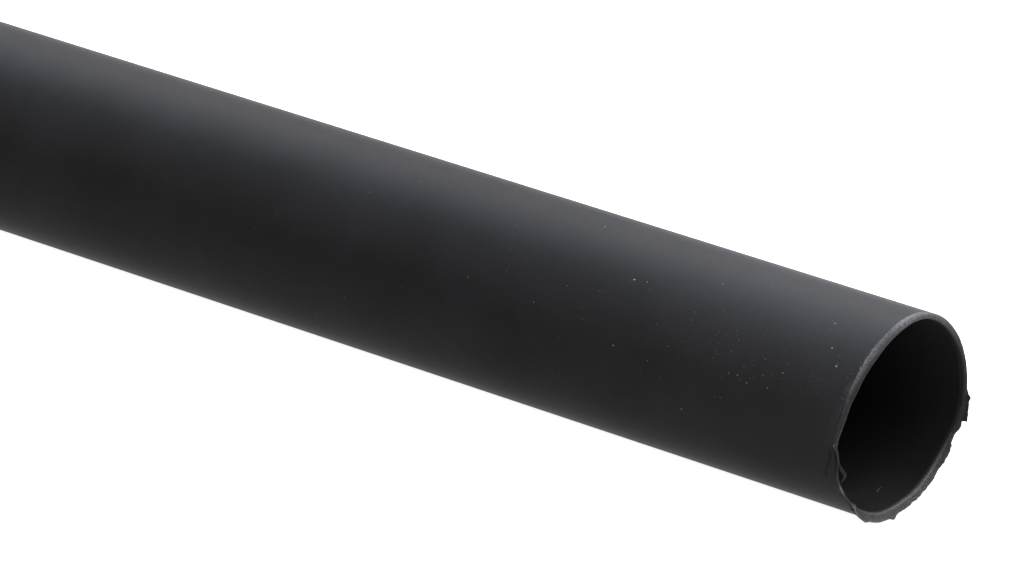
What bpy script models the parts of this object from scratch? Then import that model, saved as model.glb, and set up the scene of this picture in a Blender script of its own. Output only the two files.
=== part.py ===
"""Heat shrink tube: one cut piece of thin-walled black polyolefin sleeve, as supplied (expanded).

It lies along X on the ground plane z = 0, centred on the origin, with the cut mouth seen in the
photograph at +X. Both ends are cut square and the bore runs straight through.
"""

from math import cos, pi, radians, sin

import bpy

# Driving sizes, in metres
SUPPLIED_BORE = 0.0095  # 9.5 mm, the 3/8 inch size of 2:1 tube before it is shrunk
EXPANDED_WALL = 0.00035  # wall as supplied, about half of what it recovers to
PIECE_LENGTH = 0.1524  # a 6 inch cut length
FACETS = 28  # flats round the tube, a multiple of four so that one faces each way along Y and Z
SHARP_FROM = radians(40)  # the flats meet at less than this and shade as round, the ends at more

# Sizes worked out from them
OUTER_DIAMETER = SUPPLIED_BORE + 2 * EXPANDED_WALL
HALF_FACET = pi / FACETS

# Looks
POLYOLEFIN_BLACK = (0.020, 0.020, 0.021, 1.0)
POLYOLEFIN_ROUGHNESS = 0.62


def clear_scene():
    for thing in list(bpy.data.objects):
        bpy.data.objects.remove(thing, do_unlink=True)


def make_collection(name):
    collection = bpy.data.collections.new(name)
    bpy.context.scene.collection.children.link(collection)
    return collection


def make_polyolefin():
    """Matt black cross-linked polyolefin, extruded and then expanded."""
    material = bpy.data.materials.new("black_polyolefin")
    material.use_nodes = True
    shader = material.node_tree.nodes["Principled BSDF"]
    shader.inputs["Base Color"].default_value = POLYOLEFIN_BLACK
    shader.inputs["Roughness"].default_value = POLYOLEFIN_ROUGHNESS
    shader.inputs["Metallic"].default_value = 0.0
    return material


def wall_point(x, radius):
    """A point of the wall's section, half a facet away from straight down.

    The corners stand out by 1/cos of half a facet, so each flat touches the true circle and the
    tube measures its real diameter and bore across the flats.
    """
    corner = radius / cos(HALF_FACET)
    return (x, corner * sin(HALF_FACET), -corner * cos(HALF_FACET))


def make_shrink_tube(collection):
    """The sleeve: the section of its wall, turned once round the X axis."""
    end = PIECE_LENGTH / 2
    outer = OUTER_DIAMETER / 2
    inner = SUPPLIED_BORE / 2
    section = [
        wall_point(end, outer),
        wall_point(-end, outer),
        wall_point(-end, inner),
        wall_point(end, inner),
    ]
    edges = [(i, (i + 1) % len(section)) for i in range(len(section))]
    mesh = bpy.data.meshes.new("shrink_tube")
    mesh.from_pydata(section, edges, [])
    mesh.materials.append(make_polyolefin())

    tube = bpy.data.objects.new("shrink_tube", mesh)
    tube.location = (0.0, 0.0, outer)
    collection.objects.link(tube)

    turned = tube.modifiers.new("Turned wall", "SCREW")
    turned.axis = "X"
    turned.angle = 2 * pi
    turned.steps = FACETS
    turned.render_steps = FACETS
    turned.use_merge_vertices = True
    turned.merge_threshold = 0.00001
    return tube


def shade_round(thing):
    """Make the turned shape the object's own mesh, smooth round the tube and sharp at its ends."""
    graph = bpy.context.evaluated_depsgraph_get()
    turned = bpy.data.meshes.new_from_object(thing.evaluated_get(graph))
    section = thing.data
    thing.modifiers.clear()
    thing.data = turned
    bpy.data.meshes.remove(section)
    turned.name = thing.name
    turned.shade_smooth()
    turned.set_sharp_from_angle(angle=SHARP_FROM)


clear_scene()
shade_round(make_shrink_tube(make_collection("heat_shrink_tube")))
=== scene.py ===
import math
import random

import bmesh
import bpy
from mathutils import Matrix, Vector, noise


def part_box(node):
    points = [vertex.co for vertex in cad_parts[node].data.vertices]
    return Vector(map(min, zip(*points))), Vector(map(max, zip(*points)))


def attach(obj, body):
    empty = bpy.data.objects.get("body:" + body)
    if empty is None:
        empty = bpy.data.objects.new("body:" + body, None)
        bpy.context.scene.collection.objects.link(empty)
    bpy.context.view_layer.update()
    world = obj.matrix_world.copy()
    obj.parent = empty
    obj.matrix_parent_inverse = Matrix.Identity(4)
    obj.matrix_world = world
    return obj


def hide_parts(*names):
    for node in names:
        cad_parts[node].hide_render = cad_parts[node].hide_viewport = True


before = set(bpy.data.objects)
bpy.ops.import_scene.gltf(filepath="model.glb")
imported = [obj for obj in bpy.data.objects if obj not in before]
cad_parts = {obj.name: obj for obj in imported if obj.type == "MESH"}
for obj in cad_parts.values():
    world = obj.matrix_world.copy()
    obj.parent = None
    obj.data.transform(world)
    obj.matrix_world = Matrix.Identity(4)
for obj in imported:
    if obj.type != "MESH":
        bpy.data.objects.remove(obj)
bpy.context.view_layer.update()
mm = 0.001    # metres

# The sleeve's own sizes, read from the solid that it replaces
tubeLow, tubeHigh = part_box("shrink_tube")
mouthX, farX = tubeHigh.x, tubeLow.x
axis = Vector((0, (tubeHigh.y + tubeLow.y) / 2, (tubeHigh.z + tubeLow.z) / 2))
outerRadius = (tubeHigh.z - tubeLow.z) / 2
print("sleeve", round((mouthX - farX) / mm, 1), "mm long,",
      round(2 * outerRadius / mm, 2), "mm across")


# Angles round the tube are in degrees: 0 points along +Y, 90 straight up, 270 at the floor
def easeBetween(low, high, value):
    # 0 up to low, 1 from high on, and a soft bend between them
    share = min(1.0, max(0.0, (value - low) / (high - low)))
    return share * share * (3 - 2 * share)


def angleApart(a, b):
    # the angle between two directions, the shorter way round
    return abs((a - b + 180) % 360 - 180)


def aroundRim(points, degrees):
    # a smooth closed curve through (angle, value) pairs
    count = len(points)
    for i in range(count):
        start, end = points[i], points[(i + 1) % count]
        span = (end[0] - start[0]) % 360
        along = (degrees - start[0]) % 360
        if along <= span:
            t = along / span
            before, after = points[i - 1][1], points[(i + 2) % count][1]
            slopeIn, slopeOut = (end[1] - before) / 2, (after - start[1]) / 2
            return (start[1] * (2 * t**3 - 3 * t**2 + 1) + slopeIn * (t**3 - 2 * t**2 + t)
                    + end[1] * (3 * t**2 - 2 * t**3) + slopeOut * (t**3 - t**2))
    return points[0][1]


def rimNoise(degrees, waves, seed):
    # smooth random wander round the tube, about this many waves in a turn
    turn = math.radians(degrees)
    reach = waves / (2 * math.pi)
    return noise.noise(Vector((math.cos(turn) * reach, math.sin(turn) * reach, seed)))


def onTube(fromMouth, degrees, radius):
    # the point this far from the mouth, at this angle and distance from the tube's axis
    turn = math.radians(degrees)
    return Vector((mouthX - fromMouth, math.cos(turn) * radius, math.sin(turn) * radius)) + axis


def finishMesh(bm, name, materials):
    # the piece's object stays at the origin, with its place in its mesh
    mesh = bpy.data.meshes.new(name)
    bm.to_mesh(mesh)
    bm.free()
    for material in materials:
        mesh.materials.append(material)
    mesh.shade_smooth()
    piece = bpy.data.objects.new(name, mesh)
    bpy.context.scene.collection.objects.link(piece)
    return piece


# Materials
def linearColour(hexCode):
    parts = [int(hexCode[i:i + 2], 16) / 255 for i in (1, 3, 5)]
    return [p / 12.92 if p <= 0.04045 else ((p + 0.055) / 1.055) ** 2.4 for p in parts] + [1.0]


def addNode(tree, kind, inputs=None, **settings):
    # an input is a value, or the socket that it is linked to
    added = tree.nodes.new(kind)
    for key, value in settings.items():
        setattr(added, key, value)
    for key, value in (inputs or {}).items():
        if isinstance(value, bpy.types.NodeSocket):
            tree.links.new(value, added.inputs[key])
        else:
            added.inputs[key].default_value = value
    return added


def blankMaterial(name):
    material = bpy.data.materials.new(name)
    material.use_nodes = True
    material.node_tree.nodes.clear()
    return material, material.node_tree


# Polyolefin sleeve, extruded, cross-linked and blown up to size: a matt black skin with a fine
# satin grain, faint lines along the tube from the die, and a cloudy bloom of handling dust
skinLook = {
    "dark": "#090909",
    "cloudy": "#101011",
    "whitenedAndHighlight": "#636364",        # where the blade stretched it, and where highlight is painted, by the mesh's own attribute of paleness
    "cloud": 5.5,                 # mm across a patch of bloom
    "cloudSpan": (0.38, 0.68),    # the part of the noise that goes from dark to cloudy
    "roughness": (0.49, 0.6),
    "specular": 0.055,
    "sheen": (0.09, 0.25),        # weight and roughness: the bloom catches light at the outline
    "grain": 0.07,                # mm, the satin grain, drawn about twice as coarse as it is to show
    "grainSpan": (0.3, 0.7),      # the part of the noise that goes from smooth to rough
    "grainHeight": 0.0035,        # mm
    "dieLine": 0.16,              # mm between the lines along the tube
    "dieLineHeight": 0.0012,      # mm
    "dieLineSqueeze": 0.02,       # along the tube, so that the lines only change round it
}

# The same plastic inside: smoother, because nothing has rubbed it, and drawn a shade paler as
# painted light, for the light that reaches into the bore
borePaintedLightLook = dict(skinLook, dark="#181818", cloudy="#1e1e1e", roughness=(0.42, 0.5),
                grainHeight=0.0015, sheen=(0.0, 0.3))

# The same plastic where the blade parted it: paler where it was stretched, rough and fibrous
cutLook = dict(skinLook, dark="#131314", cloudy="#1b1b1c", roughness=(0.5, 0.66), specular=0.1,
               sheen=(0.0, 0.3), grain=0.05, grainHeight=0.009, dieLineHeight=0.0, cloud=0.35)


def polyolefin(name, look):
    material, tree = blankMaterial(name)
    place = addNode(tree, "ShaderNodeTexCoord").outputs["Object"]
    perMm = 1 / mm
    clouds = addNode(tree, "ShaderNodeTexNoise", {
        "Vector": place, "Scale": perMm / look["cloud"], "Detail": 5.0, "Roughness": 0.6})
    grain = addNode(tree, "ShaderNodeTexNoise", {
        "Vector": place, "Scale": perMm / look["grain"], "Detail": 2.0, "Roughness": 0.55})
    cloudiness = addNode(tree, "ShaderNodeMapRange", {
        "Value": clouds.outputs["Fac"],
        "From Min": look["cloudSpan"][0], "From Max": look["cloudSpan"][1]})
    tint = addNode(tree, "ShaderNodeMix", {
        "Factor": cloudiness.outputs["Result"],
        "A": linearColour(look["dark"]), "B": linearColour(look["cloudy"])}, data_type="RGBA")
    # the mesh's paleness: the blade's whitening, with painted highlight and painted reflection in it
    whitenedAndHighlight = addNode(tree, "ShaderNodeAttribute", attribute_name="whitenedAndHighlight")
    stretched = addNode(tree, "ShaderNodeMix", {
        "Factor": whitenedAndHighlight.outputs["Fac"],
        "A": tint.outputs["Result"], "B": linearColour(look["whitenedAndHighlight"])}, data_type="RGBA")
    rough = addNode(tree, "ShaderNodeMapRange", {
        "Value": grain.outputs["Fac"],
        "From Min": look["grainSpan"][0], "From Max": look["grainSpan"][1],
        "To Min": look["roughness"][0], "To Max": look["roughness"][1]})
    relief = addNode(tree, "ShaderNodeBump", {
        "Height": grain.outputs["Fac"], "Distance": look["grainHeight"] * mm, "Strength": 1.0})
    if look["dieLineHeight"]:
        alongTube = addNode(tree, "ShaderNodeMapping", {
            "Vector": place, "Scale": (look["dieLineSqueeze"], 1.0, 1.0)})
        lines = addNode(tree, "ShaderNodeTexNoise", {
            "Vector": alongTube.outputs["Vector"], "Scale": perMm / look["dieLine"], "Detail": 3.0})
        relief = addNode(tree, "ShaderNodeBump", {
            "Height": lines.outputs["Fac"], "Distance": look["dieLineHeight"] * mm,
            "Strength": 1.0, "Normal": relief.outputs["Normal"]})
    shader = addNode(tree, "ShaderNodeBsdfPrincipled", {
        "Base Color": stretched.outputs["Result"], "Roughness": rough.outputs["Result"],
        "Specular IOR Level": look["specular"], "IOR": 1.5, "Normal": relief.outputs["Normal"],
        "Sheen Weight": look["sheen"][0], "Sheen Roughness": look["sheen"][1]})
    addNode(tree, "ShaderNodeOutputMaterial", {"Surface": shader.outputs["BSDF"]})
    return material


# Household dust and lint: pale grey and dull, so that it never looks white. A patch is in mm
dustLook = {"pale": "#8f8d8a", "dull": "#504e4c", "roughness": 0.9, "specular": 0.2, "patch": 0.3}
fibreLook = dict(dustLook, pale="#3f3e3b", dull="#2b2a28", roughness=0.8)


def lint(name, look):
    material, tree = blankMaterial(name)
    place = addNode(tree, "ShaderNodeTexCoord").outputs["Object"]
    patches = addNode(tree, "ShaderNodeTexNoise", {
        "Vector": place, "Scale": 1 / (look["patch"] * mm)})
    tint = addNode(tree, "ShaderNodeMix", {
        "Factor": patches.outputs["Fac"],
        "A": linearColour(look["dull"]), "B": linearColour(look["pale"])}, data_type="RGBA")
    shader = addNode(tree, "ShaderNodeBsdfPrincipled", {
        "Base Color": tint.outputs["Result"], "Roughness": look["roughness"],
        "Specular IOR Level": look["specular"]})
    addNode(tree, "ShaderNodeOutputMaterial", {"Surface": shader.outputs["BSDF"]})
    return material


skin = polyolefin("blackPolyolefinSkin", skinLook)
# the bore: the skin's plastic drawn paler, as painted light
boreSkinPaintedLight = polyolefin("blackPolyolefinBorePaintedLight", borePaintedLightLook)
cutSkin = polyolefin("blackPolyolefinCut", cutLook)
dust = lint("paleLint", dustLook)
greyLint = lint("greyLint", fibreLook)
print("materials ready")

# The sleeve. Lengths are in mm, and edge values say how far the edge stands proud of a square cut
tube = {
    "wall": 0.35,
    "facets": 640,
    # distances from a cut end where the wall has a ring of points, close together at the cut
    "rings": (0.03, 0.06, 0.1, 0.14, 0.18, 0.22, 0.27, 0.33, 0.4, 0.46, 0.52, 0.6, 0.7, 0.85, 1.05,
              1.35, 1.8, 2.5, 3.6, 5.5, 8.5, 13, 20, 29, 40, 52, 64),
    # shares of the wall, from outside in, where the cut face has a ring of points
    "faceRings": (0.06, 0.13, 0.21, 0.3, 0.42, 0.55, 0.66, 0.76, 0.86, 0.94),
    # (angle, mm) round the mouth: the outer and the inner corner of the cut
    "outerEdge": ((0, 0.03), (10, 0.02), (20, 0.01), (30, 0.01), (40, -0.01), (50, 0.0), (60, 0.02),
                  (75, -0.03), (90, 0.02), (106, 0.07), (121, 0.02), (128, 0.0), (137, 0.0),
                  (144, -0.03), (149, -0.05), (162, -0.1), (170, -0.18), (174, -0.25), (178, -0.25),
                  (181, -0.13), (184, -0.09), (187, -0.09), (190, -0.17), (194, -0.23),
                  (199, -0.26), (206, -0.23), (211, -0.13), (215, -0.07), (222, -0.01),
                  (238, 0.0), (246, 0.1), (250, 0.06), (254, 0.0), (258, -0.04), (264, -0.12),
                  (272, -0.21), (280, -0.2), (284, -0.22), (290, -0.17), (293, -0.2),
                  (298, -0.18), (303, -0.13), (309, -0.18), (316, -0.1), (321, -0.07),
                  (326, -0.17), (330, -0.15), (334, 0.02), (338, 0.04), (346, 0.03), (354, 0.03)),
    "innerEdge": ((0, 0.0), (15, -0.03), (30, -0.07), (45, -0.06), (58, -0.04), (68, 0.02),
                  (76, 0.1), (84, 0.18), (94, 0.25), (104, 0.3), (114, 0.3), (122, 0.3), (130, 0.26),
                  (138, 0.2), (146, 0.15), (153, 0.05), (162, -0.03), (168, -0.14), (173, -0.26),
                  (177, -0.33), (180, -0.42), (182.5, -0.35), (186, -0.34), (190, -0.4),
                  (200, -0.51), (212, -0.51), (220, -0.45), (224, -0.5), (227.5, -0.54),
                  (231, -0.48), (236, -0.43), (246, -0.4), (256, -0.39), (266, -0.44),
                  (277, -0.45), (290, -0.39), (305, -0.37), (315, -0.33), (326, -0.26),
                  (335, -0.14), (345, -0.03)),
    "edgeReach": 2.4,      # the cut's wander has died out this far from the end
    # how far the blade pressed back each corner, and over what share of the wall
    "chamferOut": (0.07, 0.3),
    "chamferIn": (0.06, 0.38),
    # how far the bore opens out, from what share of the wall, and over what length
    "flare": (0.05, 0.6, 0.2),
    # the cut's random wander, each as (waves in a turn, seed)
    "fineWander": (150, 3.1),
    "finerWander": (330, 8.7),
    "coarseWander": (42, 5.5),    # only where the cut tore
    "innerWander": (60, 1.3),
    "finerShare": 0.6,            # how much the finer one counts beside the fine one
    "outerRag": 0.008,            # how high these are, on the outer and on the inner corner
    "innerRag": 0.012,
    "burrRag": 0.8,               # how much of the tears' roughness the burrs take up
    "fibres": (0.018, 0.09),      # how high they stand on the cut face, and how wide they are
    # thin burrs left on the outer corner, each a row of (angle, reach), and a few notches below 0
    "burrs": (((338.2, 0.0), (338.6, 0.32), (340, 0.28), (343, 0.26), (347, 0.22), (349.6, 0.19),
               (351, 0.25), (352.4, 0.27), (353, 0.15), (356, 0.03), (357.5, 0.0)),
              ((260.3, 0.0), (260.9, 0.2), (263, 0.2), (265, 0.14), (267.5, 0.04), (270, 0.0)),
              ((331.6, 0.0), (333, 0.02), (335.5, 0.05), (338, 0.0)),
              ((322.6, 0.0), (323.4, 0.06), (324.6, 0.05), (325.2, 0.0)),
              ((285, 0.0), (286.6, 0.05), (288, 0.0)), ((294, 0.0), (295, 0.04), (297.5, 0.0)),
              ((311, 0.0), (313.5, 0.03), (315, 0.0)), ((131, 0.0), (133, -0.07), (134, 0.0)),
              ((116, 0.0), (117.5, -0.05), (118.4, 0.0)), ((222, 0.0), (223.3, -0.3), (224.8, 0.0))),
    "burrSpread": (0.12, 0.12),    # a share of the wall, and mm along the skin
    # where the near lip was pressed outwards: (angle, mm), fading over splayReach
    "splay": ((223.4, 0.0), (225.2, 0.11), (230, 0.16), (234, 0.18), (237, 0.21), (239.5, 0.12),
              (245, 0.07), (252, 0.03), (262, 0.0)),
    "splayReach": 0.4,
    "nick": (223.4, 1.1, 0.2, 0.35),    # angle, half width in degrees, depth, how far in
    # stretches where the cut tore: angle from, to, roughness of the outer corner
    "tears": ((248, 350, 0.024), (146, 182, 0.05)),
    "tearEnds": 5,                      # degrees over which a tear starts and stops
    # creases in the skin beside the lip: from this far behind the cut to this far, from this angle
    # to this one, then depth and half width
    "creases": ((0.34, 0.62, 179, 197, 0.09, 0.07), (0.13, 0.02, 179, 194, 0.08, 0.06),
                (0.07, 0.05, 215, 227, 0.05, 0.05)),
    "lump": (-0.04, 177.3, 0.14),    # the knot above them: how far behind the cut, angle, radius
    "lumpHeight": 0.1,
    "lumpPale": 0.8,
    # how pale the blade left the cut face, and its outer and inner corner, round the mouth: stress
    # whitening, with painted highlight that is strongest where a corner or the face turns up towards
    # the lights
    "facePaleAndLight": ((0, 0.01), (20, 0.05), (48, 0.28), (62, 0.28), (75, 0.17), (106, 0.09),
                 (121, 0.07), (137, 0.06), (149, 0.03), (162, 0.02), (202, 0.02), (205, 0.27),
                 (208, 0.27), (211, 0.02), (218, 0.02), (221, 0.35), (227, 0.3), (233, 0.16),
                 (240, 0.3), (250, 0.36), (264, 0.3), (290, 0.3), (314, 0.15), (328, 0.05),
                 (340, 0.02)),
    "outerPaleAndHighlight": ((0, 0.06), (20, 0.43), (40, 0.55), (60, 0.55), (76, 0.9), (90, 0.9), (100, 0.6),
                  (108, 0.4), (118, 0.4), (128, 0.5), (134, 0.42), (140, 0.42), (148, 0.17),
                  (162, 0.06), (180, 0.08), (188, 0.06), (191, -0.02), (195, 0.16), (202, 0.12),
                  (205, 0.4), (208, 0.35), (211, 0.1), (218, 0.16), (221, 0.6), (227, 0.5),
                  (232, 0.3), (240, 0.4), (254, 0.35), (270, 0.26), (300, 0.18), (330, 0.08)),
    "innerPaleAndHighlight": ((0, -0.03), (20, -0.05), (40, 0.02), (60, 0.1), (90, 0.03), (137, 0.08),
                  (162, 0.02), (178, 0.08), (184, 0.04), (191, -0.04), (196, 0.1), (202, 0.14),
                  (205, 0.4), (208, 0.35), (211, 0.1), (218, 0.12), (221, 0.5), (227, 0.4),
                  (232, 0.26), (240, 0.32), (262, 0.6), (277, 0.68), (300, 0.56), (314, 0.46),
                  (330, 0.14), (345, 0.04)),
    # mm that the outer corner's paleness spreads over the cut face
    "outerSpread": ((0, 0.05), (40, 0.06), (75, 0.13), (90, 0.2), (100, 0.2), (116, 0.17),
                    (130, 0.13), (145, 0.08), (165, 0.05), (300, 0.05)),
    "skinSpread": 0.04,       # and over the skin
    "innerSpread": 0.065,     # and how far the inner corner's spreads
    # how much the paleness varies, mm across a speckle, and how far from the cut it does
    "speckle": (1.0, 0.075, 0.15),
    # painted highlight on the skin near the mouth, mostly on its upper side, and a painted
    # reflection low on the near side: how pale at each angle, and between what mm it fades out
    "paintedSkinHighlight": ((20, 0.08), (60, 0.13), (85, 0.12), (105, 0.1), (122, 0.085), (140, 0.055),
             (160, 0.042), (180, 0.02), (200, 0.0), (222, 0.0), (236, 0.1), (244, 0.14),
             (256, 0.05), (270, 0.0)),
    "paintedSkinHighlightFade": (-6, 28),
    # scuffs on the skin beside the mouth: angle from, to, how far they reach in, how pale
    "scuffs": ((152, 180, 0.62, 0.018), (141, 151, 0.27, 0.05)),
    "scuffRag": (0.12, 70, 21.5),        # how ragged they end: mm, waves in a turn, seed
    "scuffFade": (-0.08, 0.05),          # before and after which they fade out
    "scuffEnds": 3,                      # degrees over which a scuff or crease starts and stops
    # the bottom of the bore is drawn paler near the mouth, fading inwards
    "borePaleFloor": (262, 50, 5.0, 0.055),   # middle angle, half width, how far in, how pale
    # the unseen end, a plain shear cut. How far it is out of square and by how many degrees that is
    # turned, at the outer and the inner corner, then rag and burrs as (mm, waves in a turn, seed)
    "farSlant": (0.06, 40),
    "farInnerSlant": (0.05, 200),
    "farRag": (0.02, 30, 12.4),
    "farBurr": (0.03, 90, 17.9),
    "farPaleAt": 250,                    # it is as pale all round as the mouth is at this angle
}
nearly = 0.01    # a point this close to a surface, in mm or as a share of the wall, is on it


def zoneShare(degrees, start, end, soft):
    # 1 in a stretch of the rim and 0 outside it, with ends that are soft this many degrees each way
    middle, half = (start + end) / 2, (end - start) / 2
    return 1 - easeBetween(half - soft, half + soft, angleApart(degrees, middle))


def alongRow(row, value):
    # straight lines from one (place, height) pair to the next, and nothing beyond the row's ends
    for (start, low), (end, high) in zip(row, row[1:]):
        if start <= value <= end:
            return low + (high - low) * (value - start) / (end - start)
    return 0.0


def mouthEdges(facets):
    # how far the outer and inner corner and the burrs stand out at each facet of the mouth, in mm
    outer, inner, burr = [], [], []
    for i in range(facets):
        degrees = 360 * i / facets
        torn = max(rough * zoneShare(degrees, start, end, tube["tearEnds"])
                   for start, end, rough in tube["tears"])
        fine = (rimNoise(degrees, *tube["fineWander"])
                + tube["finerShare"] * rimNoise(degrees, *tube["finerWander"]))
        outer.append(aroundRim(tube["outerEdge"], degrees)
                     + torn * rimNoise(degrees, *tube["coarseWander"]) + tube["outerRag"] * fine)
        inner.append(aroundRim(tube["innerEdge"], degrees)
                     + tube["innerRag"] * rimNoise(degrees, *tube["innerWander"]))
        burr.append(sum(alongRow(row, degrees) for row in tube["burrs"])
                    + torn * tube["burrRag"] * fine)
    return outer, inner, burr


def farEdges(facets):
    # the same for the unseen end
    angles = [360 * i / facets for i in range(facets)]
    slant, turned = tube["farSlant"]
    innerSlant, innerTurned = tube["farInnerSlant"]
    rag, *ragWander = tube["farRag"]
    height, *burrWander = tube["farBurr"]
    outer = [slant * math.sin(math.radians(angle + turned)) + rag * rimNoise(angle, *ragWander)
             for angle in angles]
    inner = [edge + innerSlant * math.sin(math.radians(angle + innerTurned))
             for edge, angle in zip(outer, angles)]
    burr = [height * max(0.0, rimNoise(angle, *burrWander)) for angle in angles]
    return outer, inner, burr


def wallOutline():
    # the wall's section, once round: out along the skin, in over the far cut, back by the bore
    rings = [ring * mm for ring in tube["rings"]]
    wall = tube["wall"] * mm
    skinX = [mouthX] + [mouthX - ring for ring in rings]
    skinX += [farX + ring for ring in reversed(rings)] + [farX]
    faceRadii = [outerRadius - share * wall for share in tube["faceRings"]]
    outline = [(x, outerRadius) for x in skinX]
    outline += [(farX, radius) for radius in faceRadii]
    outline += [(x, outerRadius - wall) for x in reversed(skinX)]
    outline += [(mouthX, radius) for radius in reversed(faceRadii)]
    return outline


def pullRing(bm, ring):
    # the same ring again, joined to the last one by a band of faces and ready to be moved
    pulled = bmesh.ops.extrude_edge_only(bm, edges=ring)["geom"]
    return ([g for g in pulled if isinstance(g, bmesh.types.BMEdge)],
            [g for g in pulled if isinstance(g, bmesh.types.BMVert)])


def onCutFace(inward, away):
    return away < nearly < inward < 1 - nearly


def palenessAt(degrees, inward, away):
    # how pale a point is drawn, from 0 to 1: the cut's whitening and scuffs, a paler bottom of the
    # bore, and painted highlight on the cut's corners and on the skin near the mouth
    fromOuter = math.hypot(inward * tube["wall"] / aroundRim(tube["outerSpread"], degrees),
                           away / tube["skinSpread"])
    fromInner = math.hypot((1 - inward) * tube["wall"], away) / tube["innerSpread"]
    pale = aroundRim(tube["facePaleAndLight"], degrees) if onCutFace(inward, away) else 0.0
    # the corners' whitening, with painted highlight where they face the lights
    pale += aroundRim(tube["outerPaleAndHighlight"], degrees) * math.exp(-fromOuter ** 2)
    pale += aroundRim(tube["innerPaleAndHighlight"], degrees) * math.exp(-fromInner ** 2)
    if inward < nearly:
        # painted highlight on the skin near the mouth, and a painted reflection low on the near side
        fade = 1 - easeBetween(*tube["paintedSkinHighlightFade"], away)
        pale += max(0.0, aroundRim(tube["paintedSkinHighlight"], degrees)) * fade
        rag, *ragWander = tube["scuffRag"]
        fadeStart, fadeEnd = tube["scuffFade"]
        for start, end, reach, amount in tube["scuffs"]:
            edge = reach + rag * rimNoise(degrees, *ragWander)
            share = zoneShare(degrees, start, end, tube["scuffEnds"])
            pale += amount * share * (1 - easeBetween(edge + fadeStart, edge + fadeEnd, away))
    if inward > 1 - nearly:
        # paler along the bottom of the bore, fading away from the mouth
        middle, half, reach, amount = tube["borePaleFloor"]
        pale += (amount * (1 - easeBetween(0, half, angleApart(degrees, middle)))
                 * (1 - easeBetween(0, reach, away)))
    return max(0.0, pale)


def proudAt(edges, slot, inward, away, point):
    # how far a point stands out past its place on a square cut, in mm
    outer, inner, burr = edges
    (pressOut, shareOut), (pressIn, shareIn) = tube["chamferOut"], tube["chamferIn"]
    cornerOut = pressOut * max(0.0, 1 - inward / shareOut) ** 2
    cornerIn = pressIn * max(0.0, 1 - (1 - inward) / shareIn) ** 2
    base = (outer[slot] + pressOut) * (1 - inward) + (inner[slot] + pressIn) * inward
    proud = (base - cornerOut - cornerIn) * (1 - easeBetween(0, tube["edgeReach"], away))
    spreadIn, spreadAlong = tube["burrSpread"]
    proud += burr[slot] * math.exp(-inward / spreadIn) * math.exp(-away / spreadAlong)
    if onCutFace(inward, away):
        height, across = tube["fibres"]
        proud += height * noise.noise(point / (across * mm))
    return proud


def lumpShare(degrees, away):
    # 1 in the middle of the knot, and 0 beyond it
    behind, angle, size = tube["lump"]
    apart = math.hypot(away - behind, math.radians(angleApart(degrees, angle)) * outerRadius / mm)
    return 1 - easeBetween(0, size, apart)


def flareAt(inward, away):
    # how far the end of the bore opens out, in mm
    wide, wallShare, reach = tube["flare"]
    if inward <= wallShare:
        return 0.0
    return wide * (1 - easeBetween(0, reach, away)) * (inward - wallShare) / (1 - wallShare)


def liftAt(degrees, inward, away):
    # how far a point at the mouth was moved away from the tube's axis, in mm
    lift = 0.0
    if inward < nearly:
        for first, last, start, end, deep, half in tube["creases"]:
            behind = first + (last - first) * (degrees - start) / (end - start)
            lift -= (deep * zoneShare(degrees, start, end, tube["scuffEnds"])
                     * max(0.0, 1 - abs(away - behind) / half))
        lift += tube["lumpHeight"] * lumpShare(degrees, away)
    lift += (alongRow(tube["splay"], degrees) * (1 - inward)
             * (1 - easeBetween(0, tube["splayReach"], away)))
    angle, half, deep, reach = tube["nick"]
    lift -= (deep * (1 - inward) * max(0.0, 1 - angleApart(degrees, angle) / half)
             * (1 - easeBetween(0, reach, away)))
    return lift


def pullWall(bm, outline, facets):
    # one ring of points, pulled along the outline and joined to where it began
    x, radius = outline[0]
    upright = Matrix.Translation((x, 0, 0)) @ Matrix.Rotation(math.pi / 2, 4, "Y")
    bmesh.ops.create_circle(bm, segments=facets, radius=radius, matrix=upright)
    first = ring = bm.edges[:]
    for nextX, nextRadius in outline[1:]:
        ring, verts = pullRing(bm, ring)
        widen = nextRadius / radius
        bmesh.ops.scale(bm, verts=verts, vec=(1, widen, widen))
        bmesh.ops.translate(bm, verts=verts, vec=(nextX - x, 0, 0))
        x, radius = nextX, nextRadius
    bmesh.ops.bridge_loops(bm, edges=first + ring)
    bmesh.ops.recalc_face_normals(bm, faces=bm.faces)
    bm.normal_update()


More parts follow.
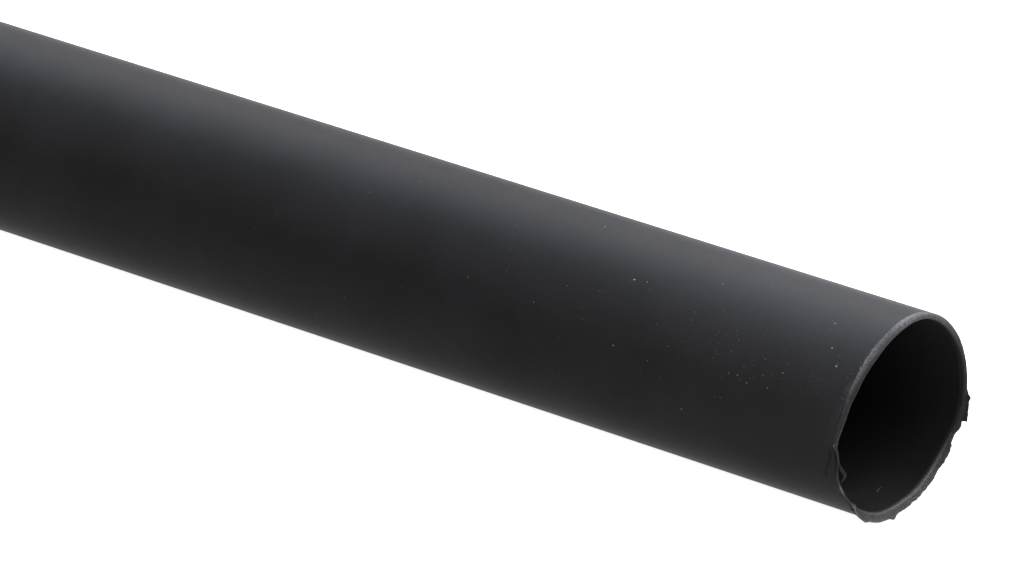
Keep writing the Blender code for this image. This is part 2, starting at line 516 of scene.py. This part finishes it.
def buildTube():
    facets, wall = tube["facets"], tube["wall"] * mm
    bm = bmesh.new()
    # the paleness layer holds the blade's whitening, and painted highlight and reflection
    paleness = bm.verts.layers.float.new("whitenedAndHighlight")
    pullWall(bm, wallOutline(), facets)
    # the materials are 0 for the skin, 1 for the bore and 2 for the cuts, which face along the tube
    for face in bm.faces:
        if abs(face.normal.x) > 0.9:
            face.material_index = 2
        elif face.normal.dot(Vector((0, *face.calc_center_median()[1:]))) < 0:
            face.material_index = 1

    mouthCut, farCut = mouthEdges(facets), farEdges(facets)
    varies, speckle, speckleReach = tube["speckle"]
    for vert in bm.verts:
        x, y, z = vert.co
        degrees = math.degrees(math.atan2(z, y)) % 360
        slot = round(degrees * facets / 360) % facets
        radius = math.hypot(y, z)
        inward = (outerRadius - radius) / wall    # 0 at the skin, 1 at the bore
        atMouth = x > (mouthX + farX) / 2
        if atMouth:
            away, edges, paleAt = abs(mouthX - x) / mm, mouthCut, degrees
        else:
            away, edges, paleAt = abs(farX - x) / mm, farCut, tube["farPaleAt"]
        proud = proudAt(edges, slot, inward, away, vert.co) * mm
        vert.co.x = x + proud if atMouth else x - proud
        pale = 0.0
        if away < tube["paintedSkinHighlightFade"][1]:
            pale = palenessAt(paleAt, inward, away)
        if away < speckleReach:
            pale *= 1 + varies * noise.noise(vert.co / (speckle * mm))
        lift = flareAt(inward, away)
        if atMouth:
            lift += liftAt(degrees, inward, away)
            if inward < nearly:
                pale += tube["lumpPale"] * lumpShare(degrees, away)
        vert[paleness] = pale
        widen = 1 + lift * mm / radius
        vert.co.y, vert.co.z = y * widen, z * widen
    bmesh.ops.translate(bm, verts=bm.verts, vec=axis)
    return finishMesh(bm, "shrinkSleeve", [skin, boreSkinPaintedLight, cutSkin])


sleeve = buildTube()
print("sleeve made,", len(sleeve.data.polygons), "faces")

# Slivers that the blade left hanging, and a fibre. Each has rows of (mm from the mouth, angle,
# radius in mm, half width in mm), and a sliver first says how pale it is
slivers = {
    "sides": 8,
    "bendSteps": 5,                  # rings between one row and the next
    "thin": 0.55,                    # thickness as a share of the width
    "facing": (0.57, -0.71, 0.4),    # the flat side faces up and out of the mouth
    "torn": (
        (0.01, ((0.36, 178.9, 4.93, 0.04), (0.26, 180.7, 4.93, 0.05), (0.21, 183.6, 4.93, 0.045),
               (0.19, 187.3, 4.93, 0.05), (0.13, 190.0, 4.93, 0.07), (0.06, 191.8, 4.92, 0.085),
               (-0.02, 193.1, 4.91, 0.085), (-0.09, 194.9, 4.9, 0.075), (0.0, 197.6, 4.91, 0.055),
               (0.24, 201.5, 4.93, 0.03))),
        (0.08, ((0.4, 161.3, 5.11, 0.015), (0.28, 160.5, 5.11, 0.025), (0.24, 158.6, 5.11, 0.03),
                (0.24, 155.6, 5.11, 0.02))),
        (0.08, ((0.4, 150.4, 5.12, 0.02), (0.28, 151.6, 5.12, 0.035), (0.12, 151.8, 5.1, 0.025))),
        (0.07, ((0.42, 137.3, 5.11, 0.015), (0.28, 137.9, 5.11, 0.022), (0.19, 137.0, 5.1, 0.015))),
        (0.1, ((0.22, 129.2, 5.13, 0.02), (0.08, 131.1, 5.11, 0.03))),
        (0.12, ((0.2, 123.5, 5.13, 0.015), (0.02, 123.9, 5.1, 0.025))),
        (0.13, ((0.29, 114.7, 5.13, 0.015), (0.04, 115.9, 5.1, 0.028))),
    ),
    "fibre": ((1.86, 276.2, 4.7, 0.025), (1.9, 278.4, 4.67, 0.04), (1.92, 280.2, 4.68, 0.03),
              (1.95, 281.8, 4.67, 0.02), (1.82, 282.8, 4.7, 0.014)),
}


def smoothRoute(points, steps):
    # a smooth curve through the points, so that a strip bends and doesn't kink
    route = []
    for i in range(len(points) - 1):
        p0, p1 = points[max(0, i - 1)], points[i]
        p2, p3 = points[i + 1], points[min(len(points) - 1, i + 2)]
        for step in range(steps):
            t = step / steps
            route.append(0.5 * (2 * p1 + (p2 - p0) * t + (2 * p0 - 5 * p1 + 4 * p2 - p3) * t**2
                                + (3 * p1 - p0 - 3 * p2 + p3) * t**3))
    return route + [points[-1]]


def sweepStrip(bm, rows):
    # a small ring pulled along the route, flattened towards one side, with its own widths
    sides, facing = slivers["sides"], Vector(slivers["facing"])
    points = [onTube(away * mm, degrees, radius * mm) for away, degrees, radius, half in rows]
    halves = [half * mm for away, degrees, radius, half in rows]
    route = smoothRoute(points, slivers["bendSteps"])
    widths = smoothRoute(halves, slivers["bendSteps"])
    verts = bmesh.ops.create_circle(bm, segments=sides, radius=1.0)["verts"]
    ring = [edge for vert in verts for edge in vert.link_edges if edge.verts[0] == vert]
    previous, strip = Matrix(), []
    for i, point in enumerate(route):
        ahead = (route[min(i + 1, len(route) - 1)] - route[max(i - 1, 0)]).normalized()
        across = ahead.cross(facing).normalized()
        turn = Matrix((across, ahead.cross(across), ahead)).transposed().to_4x4()
        half = widths[i]
        flat = Matrix.Diagonal((half, half * slivers["thin"], half, 1))
        place = Matrix.Translation(point) @ turn @ flat
        if i:
            ring, verts = pullRing(bm, ring)
        bmesh.ops.transform(bm, matrix=place @ previous.inverted(), verts=verts)
        previous = place
        strip += verts
    bmesh.ops.holes_fill(bm, edges=bm.edges, sides=sides)
    bmesh.ops.recalc_face_normals(bm, faces=bm.faces)
    return strip


def buildSlivers():
    bm = bmesh.new()
    paleness = bm.verts.layers.float.new("whitenedAndHighlight")
    for pale, rows in slivers["torn"]:
        for vert in sweepStrip(bm, rows):
            vert[paleness] = pale
    return finishMesh(bm, "tornSliver", [cutSkin])


def buildFibre():
    bm = bmesh.new()
    sweepStrip(bm, slivers["fibre"])
    return finishMesh(bm, "boreFibre", [greyLint])


sliver = buildSlivers()
fibre = buildFibre()
print("slivers made")

# Dust on the skin. The larger specks lie where they are seen: mm from the mouth, angle, size in mm
specks = {
    "seen": ((17.7, 93.4, 0.09), (13.9, 124, 0.11), (9.5, 109, 0.07), (2.7, 112, 0.1),
             (2.0, 127, 0.09), (1.3, 136, 0.09), (28.4, 104, 0.05), (30.4, 122, 0.05),
             (21.8, 113, 0.05), (17.2, 139, 0.05), (18.7, 153, 0.05), (13.2, 123, 0.06),
             (11.5, 164, 0.05), (6.8, 157, 0.06), (6.3, 156.5, 0.05), (5.7, 159, 0.05),
             (4.5, 158, 0.05), (3.9, 148, 0.05), (6.1, 151, 0.05), (5.1, 144, 0.05),
             (9.3, 185, 0.06), (17.2, 226, 0.08), (22.8, 151, 0.06), (13.6, 162, 0.06),
             (32.3, 202, 0.05)),
    # faint specks near the mouth: how many, then the middle and spread of their mm and angles
    "cloud": 170,
    "cloudAlong": (7, 5),
    "cloudRound": (138, 17),
    # and all over, between these angles
    "scattered": 260,
    "scatterRound": (-50, 230),
    "fromEnd": (0.3, 0.5),    # mm that the cloud and the scattered ones keep from the ends
    "faintSize": (0.012, 0.032),
    "shape": ((0.7, 1.3), (0.55, 1.0), 0.4),    # length, width and height as shares of the size
    "seed": 27,
}


def buildSpecks():
    draw = random.Random(specks["seed"])
    spots = list(specks["seen"])
    keepNear, keepFar = specks["fromEnd"]
    for i in range(specks["cloud"]):
        spots.append((abs(draw.gauss(*specks["cloudAlong"])) + keepNear,
                      draw.gauss(*specks["cloudRound"]), draw.uniform(*specks["faintSize"])))
    length = (mouthX - farX) / mm
    for i in range(specks["scattered"]):
        spots.append((draw.uniform(keepFar, length - keepFar),
                      draw.uniform(*specks["scatterRound"]), draw.uniform(*specks["faintSize"])))
    longShare, wideShare, highShare = specks["shape"]
    bm = bmesh.new()
    for fromMouth, degrees, size in spots:
        made = bmesh.ops.create_icosphere(bm, subdivisions=1, radius=0.5 * size * mm)
        up = Vector((0, math.cos(math.radians(degrees)), math.sin(math.radians(degrees))))
        turn = (up.to_track_quat("Z", "X").to_matrix().to_4x4()
                @ Matrix.Rotation(draw.uniform(0, math.tau), 4, "Z"))
        squash = Matrix.Diagonal((draw.uniform(*longShare), draw.uniform(*wideShare), highShare, 1))
        place = Matrix.Translation(onTube(fromMouth * mm, degrees, outerRadius))
        bmesh.ops.transform(bm, matrix=place @ turn @ squash, verts=made["verts"])
    return finishMesh(bm, "dustSpecks", [dust])


flecks = buildSpecks()
print("dust made,", len(flecks.data.polygons), "faces")

for piece in (sleeve, sliver, fibre, flecks):
    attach(piece, "root")
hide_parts("shrink_tube")

# Studio: a white acrylic table lit from below, soft boxes round the back and sides, pale walls
studio = {
    "table": "#a2a2a2",
    "tableGlow": 0.95,
    "tableFinish": (0.7, 0.2),    # roughness and specular level
    "tableSize": 4.0,             # metres
    "roomLight": (0.3, 0.06),     # brightness of the room near the horizon, and overhead
    "roomFade": (0.1, 0.45),      # heights, 0 level and 1 straight up, between which it changes
    "softBoxes": (
        # name, direction from the mouth, metres away, width, height, watts, colour
        ("backLeftSoftBox", (-0.5, 0.42, 0.56), 1.3, 1.2, 1.0, 31.5, "#f6f7ff"),
        ("lowBackSoftBox", (-0.5, 0.84, 0.2), 1.3, 1.2, 0.5, 0.9, "#ffffff"),
        ("overLeftSoftBox", (-0.42, 0.04, 0.87), 1.3, 1.0, 1.0, 11.3, "#c4d7ff"),
        ("leftFrontSoftBox", (-0.6, -0.5, 0.62), 1.2, 1.0, 1.0, 14.3, "#ffffff"),
        ("frontHighSoftBox", (0.62, -0.3, 0.72), 1.2, 0.9, 0.9, 2.6, "#ffffff"),
        ("rightHighSoftBox", (0.42, 0.08, 0.9), 1.2, 0.8, 0.8, 9.0, "#ffffff"),
        ("rightBackSoftBox", (0.68, 0.43, 0.58), 1.2, 0.8, 0.8, 11.0, "#ffffff"),
    ),
    "lens": 273.8,                # mm, on a sensor this wide
    "sensor": 36,
    "clip": (0.01, 20),           # metres
    # camera place in mm and line of sight, measured from the mouth's centre
    "cameraFromMouth": (194.64, -271.83, 153.09),
    "lookAlong": (-0.57345, 0.714, -0.40169),
}


def buildStudio():
    world = bpy.data.worlds.new("paleRoom")
    bpy.context.scene.world = world
    world.use_nodes = True
    tree = world.node_tree
    way = addNode(tree, "ShaderNodeTexCoord").outputs["Generated"]
    height = addNode(tree, "ShaderNodeSeparateXYZ", {"Vector": way}).outputs["Z"]
    room = addNode(tree, "ShaderNodeMapRange", {
        "Value": height, "From Min": studio["roomFade"][0], "From Max": studio["roomFade"][1],
        "To Min": studio["roomLight"][0], "To Max": studio["roomLight"][1]},
        interpolation_type="SMOOTHSTEP")
    tree.links.new(room.outputs["Result"], tree.nodes["Background"].inputs["Strength"])
    tree.nodes["Background"].inputs["Color"].default_value = (1, 1, 1, 1)

    tableMaterial, tree = blankMaterial("whiteAcrylicTable")
    roughness, specular = studio["tableFinish"]
    shader = addNode(tree, "ShaderNodeBsdfPrincipled", {
        "Base Color": linearColour(studio["table"]),
        "Roughness": roughness, "Specular IOR Level": specular,
        "Emission Color": (1, 1, 1, 1), "Emission Strength": studio["tableGlow"]})
    addNode(tree, "ShaderNodeOutputMaterial", {"Surface": shader.outputs["BSDF"]})
    bm = bmesh.new()
    bmesh.ops.create_grid(bm, x_segments=1, y_segments=1, size=studio["tableSize"] / 2)
    table = finishMesh(bm, "whiteTable", [tableMaterial])

    target = Vector((mouthX, 0, axis.z))
    for name, direction, away, width, height, watts, colour in studio["softBoxes"]:
        light = bpy.data.lights.new(name, "AREA")
        light.shape = "RECTANGLE"
        light.size, light.size_y = width, height
        light.energy = watts
        light.color = linearColour(colour)[:3]
        lamp = bpy.data.objects.new(name, light)
        lamp.location = target + Vector(direction).normalized() * away
        lamp.rotation_mode = "QUATERNION"
        lamp.rotation_quaternion = (target - lamp.location).to_track_quat("-Z", "Y")
        lamp.visible_camera = False
        bpy.context.scene.collection.objects.link(lamp)

    camera = bpy.data.cameras.new("photoCamera")
    camera.lens = studio["lens"]
    camera.sensor_width = studio["sensor"]
    camera.clip_start, camera.clip_end = studio["clip"]
    cameraObject = bpy.data.objects.new("photoCamera", camera)
    cameraObject.location = target + Vector(studio["cameraFromMouth"]) * mm
    cameraObject.rotation_mode = "QUATERNION"
    cameraObject.rotation_quaternion = Vector(studio["lookAlong"]).to_track_quat("-Z", "Y")
    bpy.context.scene.collection.objects.link(cameraObject)
    bpy.context.scene.camera = cameraObject
    bpy.context.scene.view_settings.view_transform = "Standard"


buildStudio()
print("studio ready")
